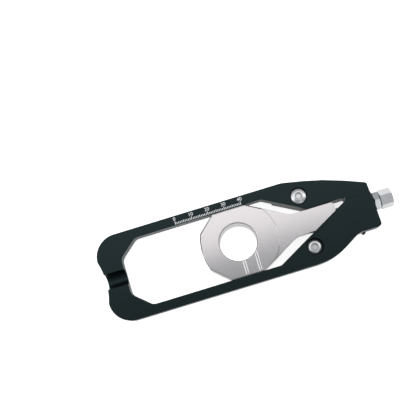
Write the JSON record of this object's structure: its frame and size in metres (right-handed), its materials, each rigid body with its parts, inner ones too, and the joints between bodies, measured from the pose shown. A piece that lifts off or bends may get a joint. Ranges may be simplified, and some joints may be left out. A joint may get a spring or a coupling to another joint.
{
  "type": "motorcycle chain adjuster",
  "caption": "Motorcycle chain adjuster: a slotted outer plate with a millimetre scale, in which a bolt draws a slider with the rear axle's bore along.",
  "frame": {"origin": "on the axis of the slider's axle bore, in the plane of the back faces of the slider and the rear plate, with the slider where the picture shows it", "axes": "+X along the plate towards the adjuster bolt's head, +Y towards the rail with the scale, +Z out of the front face along the axle"},
  "size_m": [0.1765, 0.052, 0.016],
  "materials": {
    "black_anodised": "black anodised, satin",
    "silver_anodised": "natural anodised, fine satin",
    "plated_steel": "bright zinc plated"
  },
  "bodies": {
    "plate": {"outer_plate": "black_anodised", "rear_plate": "black_anodised", "upper_screw": "plated_steel", "lower_screw": "plated_steel"},
    "slider": {"slider": "silver_anodised"},
    "bolt": {"adjuster_bolt": "plated_steel"},
    "nut": {"lock_nut": "plated_steel"}
  },
  "joints": [
    {"name": "bolt_turn", "type": "hinge", "parent": "plate", "child": "bolt", "pos_m": [0.075, 0, 0.0093], "axis": [-1, 0, 0], "range_deg": [-11520, 2160]},
    {"name": "slider_travel", "type": "slide", "parent": "plate", "child": "slider", "axis": [1, 0, 0], "range_m": [-0.032, 0.006]},
    {"name": "nut_turn", "type": "hinge", "parent": "bolt", "child": "nut", "pos_m": [0.0845, 0, 0.0093], "axis": [-1, 0, 0], "range_deg": [-100, 100]}
  ],
  "couplings": [
    {"joint": "bolt_turn", "follows": "slider_travel", "rad_per_m": 6283.2}
  ]
}
